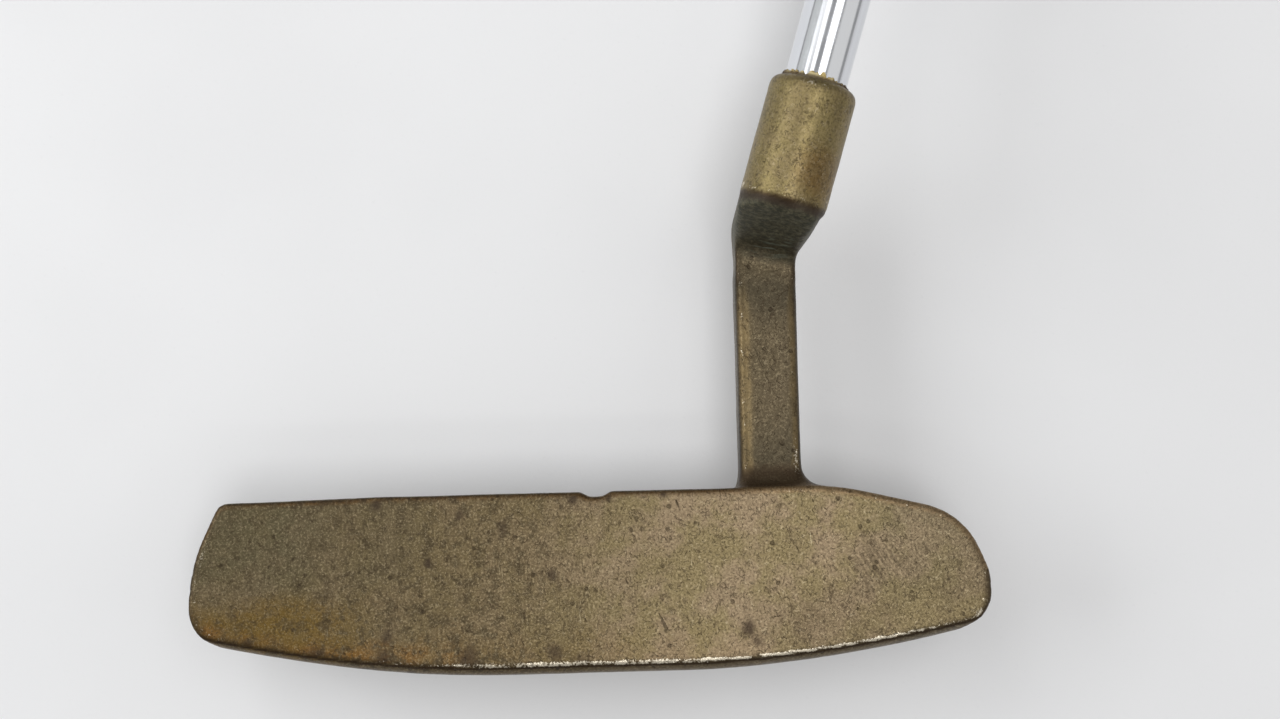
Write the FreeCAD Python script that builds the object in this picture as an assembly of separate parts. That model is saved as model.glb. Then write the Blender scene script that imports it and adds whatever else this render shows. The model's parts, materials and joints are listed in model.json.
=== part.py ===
"""Blade putter for a right-handed player: cast bronze head, chromed steel shaft, rubber pistol grip.

The head is one casting.  A flat-faced blade has a top rail, stepped weights at heel and toe and a low
flange behind it.  A plumber's neck rises near the heel: a slim post, an elbow that comes forward, and a
round socket that is bored for the shaft.  The shaft is a stepped steel tube, glued into the socket over a
weight pin and a stopper, and the grip is slipped over tape at its other end and closed by a cap.

Two working frames are used before the pieces are put in place, all in millimetres:
- head frame: x towards the heel, y from the striking face to the back, z up, origin on the face
- shaft frame: z along the shaft from the bore's floor to the butt, x towards the flat of the grip
The finished putter lies on its back on the plane z = 0 with its face up and its shaft along +Y.
"""

import FreeCAD
import Part
import math
import os

V = FreeCAD.Vector

# Blade, seen from the front
BLADE_TOP = 13.6
TOE_X = -59.1
HEEL_X = 59.03
TOE_TOP = V(-54.5, 0, 13.2)
HEEL_TOP = V(55.4, 0, 9.14)
LOWER_CORNER_Z = -5.4
LOWER_CORNER_ROUND = 5.2

# Sole
SOLE_LOW = -13.3
SOLE_FLAT_HALF = 14.0
ROCKER_RISE = 0.0064
ROCKER_POWER = 1.8
CAMBER_RADIUS = 70.0
CAMBER_LOW_Y = 9.0
LEADING_DEPTH = 2.2
LEADING_RISE = 1.12
LEADING_FADE = 0.45
LEADING_MIDDLE_X = 5.0
LEADING_REACH = 62.0
SOLE_SECTIONS = 24
SOLE_SECTION_YS = [-0.6, 0, 0.6, 1.2, 1.8, 2.4, 3.2, 4.5, 7, 11, 16, 21, 27]

# Blade, front to back
RAIL_DEPTH = 6.2
STEP_ROUND = 2.5
UPPER_STEP_Y = 12.0
UPPER_STEP_Z = 7.6
LOWER_STEP_Y = 18.6
LOWER_STEP_Z = 0.6
FLANGE_BACK = 24.8
FLANGE_CORNER = V(56.9, 20.8, 0)
FLANGE_CORNER_ROUND = 8.5
FLANGE_CURVE = 420.0
FLANGE_Z = -6.6
FLANGE_SLOPE = 6.0
SIDE_DRAW = 0.4
CAVITY_Y = 4.4
CAVITY_TOP = 8.2
CAVITY_HALF = 19.0
UPPER_HALF = 20.5
LOWER_HALF = 29.0
WALL_LEAN = 0.13
CAVITY_ROUND = 2.4

# Sight marks
NOTCH_X = 1.1
NOTCH_TOP_WIDTH = 4.6
NOTCH_FLOOR_WIDTH = 2.0
NOTCH_DEPTH = 0.75
LINE_WIDTH = 1.0
LINE_DEPTH = 0.5
LINE_START_Y = 7.5

# Post
POST_X = 27.25
POST_Y = 6.4
POST_HALF_WIDTH = 4.6
POST_HALF_DEPTH = 4.2
POST_LEAN = 2.0
POST_EDGE = 1.4
POST_TOP = 46.0
BOSS_BOTTOM = 5.0
FLARE_HEIGHT = 3.3
FLARE_TOE = 0.8
FLARE_HEEL = 3.3
FLARE_FRONT = 2.0
FLARE_STEPS = 5

# Socket and elbow
LIE_TILT = 16.8
LOFT = 3.75
AXIS_POINT = V(30.03, -9.1, 56.35)
SOCKET_TOP_Z = 71.4
SOCKET_RADIUS = 6.45
SOCKET_LENGTH = 18.9
SOCKET_MOUTH_ROUND = 1.5
SOCKET_FOOT_ROUND = 1.3
BORE_RADIUS = 4.66
BORE_DEPTH = 17.0
ELBOW_LOW = 44.0
ELBOW_HIGH = 60.0
ELBOW_TAPER_Z = 48.2
ELBOW_INSET = 0.15
ELBOW_TOE_SHIFT = 0.25
SIDE_MARGIN = 4.0
NEARLY_ROUND = 0.99
ELBOW_CHIN = 1.6
ELBOW_CROWN = 5.0
SADDLE_DROP = 2.4
CROWN_DROP = 3.6
SADDLE_FILLET = 2.5
UNDERSIDE_BACK_Z = 48.6
UNDERSIDE_FRONT_Z = 52.6
UNDERSIDE_FILLET = 3.0
SOCKET_FOOT_Z = 53.4

# Shaft and what is in it
CLUB_LENGTH = 889.0
TIP_RADIUS = 4.51
TIP_TAPER_END = 52.0
LOWER_RADIUS = 4.7
BUTT_RADIUS = 7.37
FIRST_STEP = 190.0
STEP_PITCH = 27.0
STEP_COUNT = 14
STEP_RUN = 1.0
SHAFT_WALL = 0.45
PIN_HEAD_HEIGHT = 1.2
PIN_HEAD_RADIUS = 4.4
PIN_SHANK_LENGTH = 22.0
PIN_SLACK = 0.05
PIN_CHAMFER = 0.6
STOPPER_LENGTH = 14.0
BEAD_RADIUS = 5.05
BEAD_HEIGHT = 1.0

# Grip
GRIP_LENGTH = 267.0
TAPE_THICKNESS = 0.25
TAPE_GAP = 0.6
GRIP_STATIONS = 16
GRIP_MOUTH_HALF = 9.6
GRIP_BUTT_HALF = 12.2
GRIP_MOUTH_FRONT = 8.9
GRIP_BUTT_FRONT = 10.4
GRIP_FRONT_ROUND = 3.2
GRIP_BACK_ROUND = 0.93
SWELL_START = 0.5
SWELL_PEAK = 0.9
SWELL = 7.0
SWELL_FALL = 18.0
CAP_THICKNESS = 2.6
CAP_ROUND = 1.3
VENT_RADIUS = 1.1

# How far the flange's resting edge is inside its furthest point
FLANGE_SLACK = 0.4

# Places worked out from the dimensions above
SHAFT_DIRECTION = V(
    math.sin(math.radians(LIE_TILT)) * math.cos(math.radians(LOFT)),
    -math.sin(math.radians(LOFT)),
    math.cos(math.radians(LIE_TILT)) * math.cos(math.radians(LOFT)),
)


def on_shaft_axis(height):
    """The point of the shaft's axis at a height in the head frame."""
    return AXIS_POINT + SHAFT_DIRECTION * ((height - AXIS_POINT.z) / SHAFT_DIRECTION.z)


SOCKET_TOP = on_shaft_axis(SOCKET_TOP_Z)
BORE_FLOOR = SOCKET_TOP - SHAFT_DIRECTION * BORE_DEPTH
BUTT = CLUB_LENGTH - (BORE_FLOOR - on_shaft_axis(SOLE_LOW)).Length
GRIP_MOUTH = BUTT - GRIP_LENGTH
SHAFT_END = BUTT - CAP_THICKNESS
SHAFT_PLACEMENT = FreeCAD.Placement(
    BORE_FLOOR,
    FreeCAD.Rotation(SHAFT_DIRECTION * SHAFT_DIRECTION.x - V(1, 0, 0), V(0, 0, 0), SHAFT_DIRECTION, "ZXY"),
)


def rounded_wire(corners):
    """A closed wire through corners, each a (point, radius) pair, with a tangent arc at each radius."""
    stretches = []
    for i, (corner, radius) in enumerate(corners):
        back = (corners[i - 1][0] - corner).normalize()
        ahead = (corners[(i + 1) % len(corners)][0] - corner).normalize()
        half = back.getAngle(ahead) / 2
        run = radius / math.tan(half)
        crown = corner + (back + ahead).normalize() * (radius / math.sin(half) - radius)
        stretches.append((corner + back * run, crown, corner + ahead * run, radius))
    edges = []
    for i, (start, crown, end, radius) in enumerate(stretches):
        if radius:
            edges.append(Part.Arc(start, crown, end).toShape())
        edges.append(Part.LineSegment(end, stretches[(i + 1) % len(stretches)][0]).toShape())
    return Part.Wire(edges)


def prism(corners, start, along):
    """A solid with the rounded outline of corners as its section, set at start and reaching along."""
    solid = Part.Face(rounded_wire(corners)).extrude(along)
    solid.translate(start)
    return solid


def turned(profile):
    """A solid of revolution about Z whose half section is a list of (radius, height) points."""
    points = [V(radius, 0, height) for radius, height in profile]
    section = Part.Face(Part.makePolygon(points + [points[0]]))
    return section.revolve(V(0, 0, 0), V(0, 0, 1), 360)


def along_shaft(shape):
    """A shape made upright about the Z axis, set on the shaft's axis with z = 0 on the bore's floor."""
    shape.Placement = SHAFT_PLACEMENT.multiply(shape.Placement)
    return shape


def sole_height(x, y):
    """Height of the sole: a flat middle that rises to heel and toe, a camber, a rounded front."""
    rocker = ROCKER_RISE * max(abs(x) - SOLE_FLAT_HALF, 0) ** ROCKER_POWER
    camber = (y - CAMBER_LOW_Y) ** 2 / (2 * CAMBER_RADIUS)
    rise = LEADING_RISE - LEADING_FADE * ((x - LEADING_MIDDLE_X) / LEADING_REACH) ** 2
    leading = rise * max(1 - y / LEADING_DEPTH, 0) ** 2
    return SOLE_LOW + rocker + camber + leading


def above_sole():
    """Everything above the sole's surface."""
    reach = HEEL_X + 4
    sections = []
    for i in range(SOLE_SECTIONS + 1):
        x = reach * (2 * i / SOLE_SECTIONS - 1)
        curve = Part.BSplineCurve()
        curve.interpolate([V(x, y, sole_height(x, y)) for y in SOLE_SECTION_YS])
        sections.append(Part.Wire(curve.toShape()))
    surface = Part.makeLoft(sections, False, False)
    return surface.Faces[0].extrude(V(0, 0, 60))


def blade_front():
    """The blade's outline from the front, taken back past the flange."""
    outline = [
        (V(-30, 0, BLADE_TOP), 60.0),
        (TOE_TOP, 1.9),
        (V(TOE_X, 0, 3.6), 24.0),
        (V(TOE_X, 0, LOWER_CORNER_Z), LOWER_CORNER_ROUND),
        (V(-43, 0, -14.8), 0),
        (V(-43, 0, -18), 0),
        (V(43, 0, -18), 0),
        (V(43, 0, -14.6), 0),
        (V(HEEL_X, 0, LOWER_CORNER_Z), LOWER_CORNER_ROUND),
        (V(HEEL_X, 0, 0), 9.0),
        (HEEL_TOP, 11.0),
        (V(36.6, 0, BLADE_TOP), 30.0),
    ]
    return prism(outline, V(0, 0, 0), V(0, 30, 0))


def blade_plan():
    """The blade's outline from above: sides that draw in to a gently curved back."""
    corner = FLANGE_CORNER
    outline = [
        (V(TOE_X - SIDE_DRAW, -2, 0), 0),
        (V(-corner.x, corner.y, 0), FLANGE_CORNER_ROUND),
        (V(0, FLANGE_BACK, 0), FLANGE_CURVE),
        (V(corner.x, corner.y, 0), FLANGE_CORNER_ROUND),
        (V(HEEL_X + SIDE_DRAW, -2, 0), 0),
    ]
    return prism(outline, V(0, 0, -30), V(0, 0, 60))


def step(y, z, radius):
    """The air behind y and above z, right across the blade, with a rounded inner corner."""
    box = Part.makeBox(160, 60, 60, V(-80, y, z))
    centres = [(edge, edge.CenterOfMass) for edge in box.Edges]
    inner = [e for e, centre in centres if abs(centre.y - y) < 0.1 and abs(centre.z - z) < 0.1]
    return box.makeFillet(radius, inner)


def trough(half, y, height, lean):
    """The air between the heel and toe weights behind y, from the flange up, with upright corners rounded."""
    corners = [
        (V(-half, y, FLANGE_Z), 0),
        (V(half, y, FLANGE_Z), 0),
        (V(half + lean * height, y, FLANGE_Z + height), 0),
        (V(-half - lean * height, y, FLANGE_Z + height), 0),
    ]
    solid = prism(corners, V(0, 0, 0), V(0, 40, 0))
    middle = FLANGE_Z + height / 2
    centres = [(edge, edge.CenterOfMass) for edge in solid.Edges]
    upright = [e for e, centre in centres if abs(centre.y - y) < 0.1 and abs(centre.z - middle) < 1]
    return solid.makeFillet(CAVITY_ROUND, upright)


def sight_notch():
    """The small notch across the top rail."""
    half_top = NOTCH_TOP_WIDTH / 2
    half_floor = NOTCH_FLOOR_WIDTH / 2
    half_high = half_top + (half_top - half_floor) / NOTCH_DEPTH
    outline = [
        (V(NOTCH_X - half_floor, 0, BLADE_TOP - NOTCH_DEPTH), 0),
        (V(NOTCH_X + half_floor, 0, BLADE_TOP - NOTCH_DEPTH), 0),
        (V(NOTCH_X + half_high, 0, BLADE_TOP + 1), 0),
        (V(NOTCH_X - half_high, 0, BLADE_TOP + 1), 0),
    ]
    return prism(outline, V(0, -1, 0), V(0, RAIL_DEPTH + 2, 0))


def sight_line():
    """The fine groove along the flange."""
    return Part.makeBox(LINE_WIDTH, 40, 10, V(NOTCH_X - LINE_WIDTH / 2, LINE_START_Y, FLANGE_Z - LINE_DEPTH))


def blade():
    """The blade before its neck is added."""
    solid = blade_front().common(blade_plan()).common(above_sole())
    level = [
        step(RAIL_DEPTH, UPPER_STEP_Z, STEP_ROUND),
        step(UPPER_STEP_Y, LOWER_STEP_Z, STEP_ROUND),
        sight_notch(),
    ]
    sloping = [
        step(LOWER_STEP_Y, FLANGE_Z, STEP_ROUND),
        trough(UPPER_HALF, RAIL_DEPTH, 30, WALL_LEAN),
        trough(LOWER_HALF, UPPER_STEP_Y, 30, WALL_LEAN),
        trough(CAVITY_HALF, CAVITY_Y, CAVITY_TOP - FLANGE_Z, 0),
        sight_line(),
    ]
    for tool in sloping:
        tool.rotate(V(0, CAVITY_Y, FLANGE_Z), V(1, 0, 0), -FLANGE_SLOPE)
    for tool in level + sloping:
        solid = solid.cut(tool)
    return solid.removeSplitter()


def post_centre(z):
    """The post's centre at a height, leaning towards the front as it rises."""
    return V(POST_X, POST_Y - (z - BLADE_TOP) * math.tan(math.radians(POST_LEAN)), z)


def post_section(z, flare=0.0):
    """The post's outline at a height, spread out by a share of the flare at its foot."""
    centre = post_centre(z)
    toe = centre.x - POST_HALF_WIDTH - FLARE_TOE * flare
    heel = centre.x + POST_HALF_WIDTH + FLARE_HEEL * flare
    front = centre.y - POST_HALF_DEPTH - FLARE_FRONT * flare
    back = centre.y + POST_HALF_DEPTH
    corners = [V(toe, front, z), V(heel, front, z), V(heel, back, z), V(toe, back, z)]
    return rounded_wire([(corner, POST_EDGE) for corner in corners])


def post():
    """The slim post, with a concave flare that runs down into the blade."""
    foot = [post_section(BOSS_BOTTOM, 1.0)]
    for i in range(FLARE_STEPS + 1):
        angle = math.radians(90 * i / FLARE_STEPS)
        foot.append(post_section(BLADE_TOP + FLARE_HEIGHT * (1 - math.cos(angle)), 1 - math.sin(angle)))
    flare = Part.makeLoft(foot, True, True)
    straight = Part.makeLoft([post_section(BLADE_TOP + FLARE_HEIGHT), post_section(POST_TOP)], True, True)
    return flare.fuse(straight)


def elbow_side():
    """The elbow's outline from the side: up the post, forward under the socket, back over the crown."""
    middle = post_centre(ELBOW_LOW).y
    foot = on_shaft_axis(SOCKET_FOOT_Z)
    front = foot.y - SOCKET_RADIUS + ELBOW_INSET
    rear = foot.y + SOCKET_RADIUS
    outline = [
        (V(0, middle - POST_HALF_DEPTH, ELBOW_LOW - SIDE_MARGIN), 0),
        (V(0, middle - POST_HALF_DEPTH, UNDERSIDE_BACK_Z), UNDERSIDE_FILLET),
        (V(0, front, UNDERSIDE_FRONT_Z), ELBOW_CHIN),
        (V(0, front + ELBOW_CHIN, ELBOW_HIGH), 0),
        (V(0, rear - ELBOW_CHIN, ELBOW_HIGH), 0),
        (V(0, rear + 1, ELBOW_HIGH - SADDLE_DROP), SADDLE_FILLET),
        (V(0, middle + POST_HALF_DEPTH, ELBOW_HIGH - CROWN_DROP), ELBOW_CROWN),
        (V(0, middle + POST_HALF_DEPTH, ELBOW_LOW - SIDE_MARGIN), 0),
    ]
    lean = math.radians(LIE_TILT)
    across = V(math.cos(lean), 0, -math.sin(lean))
    return prism(outline, V(foot.x, 0, 0) - across * 40, across * 80)


def elbow_front():
    """The elbow's outline from the front: as wide as the post below and as the leaning socket above."""
    foot = on_shaft_axis(SOCKET_FOOT_Z)
    slope = math.tan(math.radians(LIE_TILT))
    across = SOCKET_RADIUS / math.cos(math.radians(LIE_TILT))
    toe = POST_X - POST_HALF_WIDTH
    heel = POST_X + POST_HALF_WIDTH
    rise = ELBOW_HIGH + SIDE_MARGIN - SOCKET_FOOT_Z
    outline = [
        (V(toe, 0, ELBOW_LOW), 0),
        (V(toe + ELBOW_TOE_SHIFT, 0, UNDERSIDE_BACK_Z - 1), 12.0),
        (V(foot.x - across + ELBOW_TOE_SHIFT, 0, foot.z), 5.0),
        (V(foot.x - across + rise * slope, 0, foot.z + rise), 0),
        (V(foot.x + across + rise * slope, 0, foot.z + rise), 0),
        (V(foot.x + across, 0, foot.z), ELBOW_CHIN),
        (V(heel, 0, ELBOW_TAPER_Z), 4.0),
        (V(heel, 0, ELBOW_LOW), 0),
    ]
    return prism(outline, V(0, -30, 0), V(0, 60, 0))


def elbow_plan():
    """The elbow's outline along the shaft: round in front, just inside the socket, and straight behind it."""
    half = SOCKET_RADIUS - ELBOW_INSET
    outline = [
        (V(-half, half, 0), half * NEARLY_ROUND),
        (V(-half, -30, 0), 0),
        (V(half, -30, 0), 0),
        (V(half, half, 0), half * NEARLY_ROUND),
    ]
    return along_shaft(prism(outline, V(0, 0, -20), V(0, 0, 40)))


def socket():
    """The round boss on top of the neck that takes the shaft."""
    foot_z = BORE_DEPTH - SOCKET_LENGTH
    boss = Part.makeCylinder(SOCKET_RADIUS, SOCKET_LENGTH, V(0, 0, foot_z))
    for z, radius in ((BORE_DEPTH, SOCKET_MOUTH_ROUND), (foot_z, SOCKET_FOOT_ROUND)):
        rim = [e for e in boss.Edges if abs(e.CenterOfMass.z - z) < 0.1 and len(e.Vertexes) == 1]
        boss = boss.makeFillet(radius, rim)
    return along_shaft(boss)


def head_casting():
    """The whole head: blade, neck and bored socket."""
    elbow = elbow_side().common(elbow_front()).common(elbow_plan())
    solid = blade().fuse(post()).fuse(elbow).fuse(socket())
    bore = along_shaft(Part.makeCylinder(BORE_RADIUS, BORE_DEPTH + 5))
    return solid.cut(bore).removeSplitter()


def shaft_radius(z):
    """The shaft's outer radius at a height above the bore's floor, between its steps."""
    if z <= TIP_TAPER_END:
        share = (z - PIN_HEAD_HEIGHT) / (TIP_TAPER_END - PIN_HEAD_HEIGHT)
        return TIP_RADIUS + (LOWER_RADIUS - TIP_RADIUS) * share
    steps = min(max(math.ceil((z - FIRST_STEP) / STEP_PITCH), 0), STEP_COUNT)
    return LOWER_RADIUS + (BUTT_RADIUS - LOWER_RADIUS) * steps / STEP_COUNT


def shaft():
    """The stepped tube, thin at the tip and one small step wider at each ring."""
    heights = [PIN_HEAD_HEIGHT, TIP_TAPER_END]
    for i in range(STEP_COUNT):
        heights += [FIRST_STEP + i * STEP_PITCH, FIRST_STEP + i * STEP_PITCH + STEP_RUN]
    heights.append(SHAFT_END)
    outside = [(shaft_radius(z), z) for z in heights]
    inside = [(radius - SHAFT_WALL, z) for radius, z in reversed(outside)]
    return turned(outside + inside)


def tip_weight():
    """A balance pin: its head fills the bottom of the bore and its shank plugs the shaft's tip."""
    shank = TIP_RADIUS - SHAFT_WALL - PIN_SLACK
    top = PIN_HEAD_HEIGHT + PIN_SHANK_LENGTH
    return turned(
        [
            (0, 0),
            (PIN_HEAD_RADIUS, 0),
            (PIN_HEAD_RADIUS, PIN_HEAD_HEIGHT),
            (shank, PIN_HEAD_HEIGHT),
            (shank, top - PIN_CHAMFER),
            (shank - PIN_CHAMFER, top),
            (0, top),
        ]
    )


def shaft_stopper():
    """A soft plug pushed up the shaft to keep glue and the pin in its tip."""
    low = PIN_HEAD_HEIGHT + PIN_SHANK_LENGTH
    high = low + STOPPER_LENGTH
    low_radius = shaft_radius(low) - SHAFT_WALL
    high_radius = shaft_radius(high) - SHAFT_WALL
    return turned([(0, low), (low_radius, low), (high_radius, high), (0, high)])


def epoxy_bond():
    """The glue between shaft and socket, with the bead that squeezed out round the mouth."""
    bead_top = BORE_DEPTH + BEAD_HEIGHT
    return turned(
        [
            (shaft_radius(PIN_HEAD_HEIGHT), PIN_HEAD_HEIGHT),
            (BORE_RADIUS, PIN_HEAD_HEIGHT),
            (BORE_RADIUS, BORE_DEPTH),
            (BEAD_RADIUS, BORE_DEPTH),
            (BEAD_RADIUS - BEAD_HEIGHT / 8, BORE_DEPTH + BEAD_HEIGHT / 2),
            (shaft_radius(bead_top) + BEAD_HEIGHT / 8, bead_top),
            (shaft_radius(bead_top), bead_top),
        ]
    )


def grip_tape():
    """The wrap of double-sided tape that holds the grip."""
    length = SHAFT_END - GRIP_MOUTH - TAPE_GAP
    base = V(0, 0, GRIP_MOUTH + TAPE_GAP)
    outer = Part.makeCylinder(BUTT_RADIUS + TAPE_THICKNESS, length, base)
    return outer.cut(Part.makeCylinder(BUTT_RADIUS, length, base))


def grip_outline(z):
    """The grip's outline at a height: flat front, straight sides, round back that swells near the butt."""
    t = (z - GRIP_MOUTH) / GRIP_LENGTH
    grown = min(max((t - SWELL_START) / (SWELL_PEAK - SWELL_START), 0), 1)
    swell = SWELL * grown * grown * (3 - 2 * grown) - SWELL_FALL * max(t - SWELL_PEAK, 0)
    half = GRIP_MOUTH_HALF + (GRIP_BUTT_HALF - GRIP_MOUTH_HALF) * t
    front = GRIP_MOUTH_FRONT + (GRIP_BUTT_FRONT - GRIP_MOUTH_FRONT) * t
    back = -half - swell
    return rounded_wire(
        [
            (V(front, -half, z), GRIP_FRONT_ROUND),
            (V(front, half, z), GRIP_FRONT_ROUND),
            (V(back, half, z), half * GRIP_BACK_ROUND),
            (V(back, -half, z), half * GRIP_BACK_ROUND),
        ]
    )


def grip():
    """The rubber pistol grip, open at its mouth and at its butt, where the cap goes."""
    length = SHAFT_END - GRIP_MOUTH
    sections = [grip_outline(GRIP_MOUTH + length * i / GRIP_STATIONS) for i in range(GRIP_STATIONS + 1)]
    hole = Part.makeCylinder(BUTT_RADIUS + TAPE_THICKNESS, length + 20, V(0, 0, GRIP_MOUTH - 10))
    return Part.makeLoft(sections, True, False).cut(hole)


def grip_cap():
    """The hard cap that closes the grip's butt, with a small vent hole."""
    disc = Part.Face(grip_outline(SHAFT_END)).extrude(V(0, 0, CAP_THICKNESS))
    rim = [e for e in disc.Edges if abs(e.CenterOfMass.z - BUTT) < 0.01]
    disc = disc.makeFillet(CAP_ROUND, rim)
    return disc.cut(Part.makeCylinder(VENT_RADIUS, CAP_THICKNESS + 2, V(0, 0, SHAFT_END - 1)))


def lying_placement(shapes):
    """The turn and shift that lay the putter on its back: face up, shaft along +Y, centred on the origin."""
    butt = SHAFT_PLACEMENT.multVec(V(0, 0, BUTT))
    drop = (FLANGE_BACK - FLANGE_SLACK) - (butt.y + GRIP_BUTT_HALF)
    tilt = math.degrees(math.atan2(drop, butt.z - FLANGE_Z))
    tip_back = FreeCAD.Rotation(V(1, 0, 0), -90 - tilt)
    aim = tip_back.multVec(SHAFT_DIRECTION)
    turn = FreeCAD.Rotation(V(0, 0, 1), math.degrees(math.atan2(aim.x, aim.y)))
    placement = FreeCAD.Placement(V(0, 0, 0), turn.multiply(tip_back))
    box = FreeCAD.BoundBox()
    for shape in shapes:
        moved = shape.copy()
        moved.Placement = placement.multiply(moved.Placement)
        box.add(moved.optimalBoundingBox(False, False))
    placement.Base = V(-box.Center.x, -box.Center.y, -box.ZMin)
    return placement


def make_pieces():
    """Every piece of the putter in the head frame, by name."""
    return {
        "head_casting": head_casting(),
        "shaft": along_shaft(shaft()),
        "tip_weight": along_shaft(tip_weight()),
        "shaft_stopper": along_shaft(shaft_stopper()),
        "epoxy_bond": along_shaft(epoxy_bond()),
        "grip_tape": along_shaft(grip_tape()),
        "grip": along_shaft(grip()),
        "grip_cap": along_shaft(grip_cap()),
    }


def main():
    pieces = make_pieces()
    placement = lying_placement(pieces.values())
    os.makedirs("parts", exist_ok=True)
    for name, shape in pieces.items():
        shape.Placement = placement.multiply(shape.Placement)
        shape.exportStep(f"parts/{name}.step")


if __name__ == "__main__":
    main()
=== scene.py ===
"""Looks of the blade putter: an aged bronze head, a chromed shaft and a rubber grip round the CAD frame.

Lengths in this script are in millimetres unless a name says otherwise; MM turns them into metres.
The head is sculpted in the head frame (x to the heel, y to the back, z up, origin on the striking face).
The shaft, the glue, the grip and its cap are built in the shaft frame (z from the bore's floor to the butt,
x towards the flat of the grip).
"""

import json
import math

import bmesh
import bpy
import numpy as np
from mathutils import Matrix, Vector, noise
from mathutils.bvhtree import BVHTree


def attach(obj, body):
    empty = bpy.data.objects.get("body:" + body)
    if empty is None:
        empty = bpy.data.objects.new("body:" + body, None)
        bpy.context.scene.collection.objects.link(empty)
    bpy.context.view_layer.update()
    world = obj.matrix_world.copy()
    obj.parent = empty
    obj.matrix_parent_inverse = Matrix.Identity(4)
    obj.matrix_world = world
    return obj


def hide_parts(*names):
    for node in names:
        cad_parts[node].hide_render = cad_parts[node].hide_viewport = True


MM = 0.001

# Camera, placed from the middle of the striking face
CAMERA_LENS = 52.7
CAMERA_HEIGHT = 275.0
CAMERA_TO_HEEL = 7.34
CAMERA_TO_TOP = 33.02
CAMERA_ROLL_DEG = -1.5

# Head
HEAD_VOXEL = 0.41
EDGE_SOFTENING = 4
NECK_SOFTENING = 4
NORMAL_EASING = 3
ELBOW_MIDDLE_Z = 51.0
ELBOW_HALF = 9.0
BORE_CLEARANCE_RADIUS = 5.2
NECK_FRONT_Y = 8.0
NICK_DEPTH = 0.07
SOLE_NICK_X = 24.0

# Dark soft spots on the striking face: x, z, radius and strength
DARK_SPOTS = [
    (-30.5, -10.2, 2.0, 0.75),
    (-29.9, -6.9, 1.3, 0.65),
    (-17.8, -10.3, 2.2, 0.75),
    (-5.5, -9.9, 1.9, 0.7),
    (-1.5, -11.2, 1.6, 0.55),
    (23.1, -7.1, 1.5, 0.9),
    (24.3, -8.9, 1.3, 0.7),
    (-40.4, -9.9, 2.4, 0.7),
    (-50.5, -7.4, 1.1, 0.7),
    (-31.3, 12.3, 1.2, 0.85),
    (-23.6, 3.8, 0.9, 0.85),
    (-12.8, 8.4, 1.5, 0.55),
    (-19.0, 10.7, 0.9, 0.7),
    (-5.5, 1.6, 1.2, 0.7),
    (11.1, 12.9, 0.8, 0.9),
    (-2.1, 12.6, 1.0, 0.9),
    (3.1, 12.7, 0.8, 0.9),
]

# The bronze's stain layers from the lowest up, with the painted light on the heel's top rim and the partly
# painted shade towards the toe: name, the clouds' range, the least and most cover there, and colour
STAIN_AND_PAINTED_LIGHT_LAYERS = [
    ("toe_shade", (0.3, 0.6), (0.75, 0.75), (88, 75, 51)),
    ("grey", (0.25, 0.6), (0.5, 0.9), (82, 75, 54)),
    ("gold", (0.35, 0.6), (0.6, 1.0), (99, 78, 35)),
    ("barrel", (0.3, 0.7), (0.5, 0.95), (142, 127, 84)),
    ("rust", (0.4, 0.6), (0.5, 1.0), (112, 79, 35)),
    ("heel_shade", (0.3, 0.6), (0.3, 0.65), (88, 75, 54)),
    ("neck", (0.3, 0.6), (1.0, 1.0), (64, 57, 43)),
    ("gilt", (0.3, 0.6), (0.45, 0.85), (132, 113, 78)),
    # painted light on the heel's upward top rim
    ("painted_lit_rim", (0.3, 0.6), (0.6, 0.6), (150, 124, 92)),
]

# Shaft frame
PLAIN_RUN_MIDDLE = 121.0
SHAFT_SEGMENTS = 96
SHAFT_WALL = 0.45
SHAFT_ROW_GAP = 6.0
STEP_ROUNDING = 0.5

# Glue crust round the shaft
CRUST_SEGMENTS = 300
CRUST_TALLEST_ANGLE = 1.4  # in radians
CRUST_ROWS = 8

# Grip
GRIP_SEGMENTS = 160
GRIP_ROW_PITCH = 0.6
GRIP_HOLE_GAP = 0.02
GRIP_END_INSET = 0.05
GRIP_MOUTH_ROUND = 1.6
GRIP_PATTERN_FROM_MOUTH = 14.0
GRIP_PATTERN_FROM_BUTT = 34.0
DIMPLE_PITCH = 2.6
DIMPLE_DEPTH = 0.42
HERRINGBONE_PITCH = 3.4
HERRINGBONE_RISE = 5.2
HERRINGBONE_TURN = 10.5  # rise for each radian round the grip
HERRINGBONE_DEPTH = 0.38
BORDER_DEPTH = 0.5
GROOVE_DEPTH = 0.45
GROOVES_FROM_MOUTH = (4.0, 7.0, 10.0)
GROOVES_FROM_BUTT = (8.0, 5.0)
SEAM_HEIGHT = 0.12

# Cap: the vent, and the dish as (share of the outline, depth)
VENT_RADIUS = 1.1
CAP_ROUND_ROWS = 8
CAP_DISH = [
    (0.80, 0), (0.76, 0), (0.745, 0.3), (0.715, 0.3), (0.70, 0), (0.62, 0.02), (0.45, 0.18), (0.25, 0.3)
]

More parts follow.
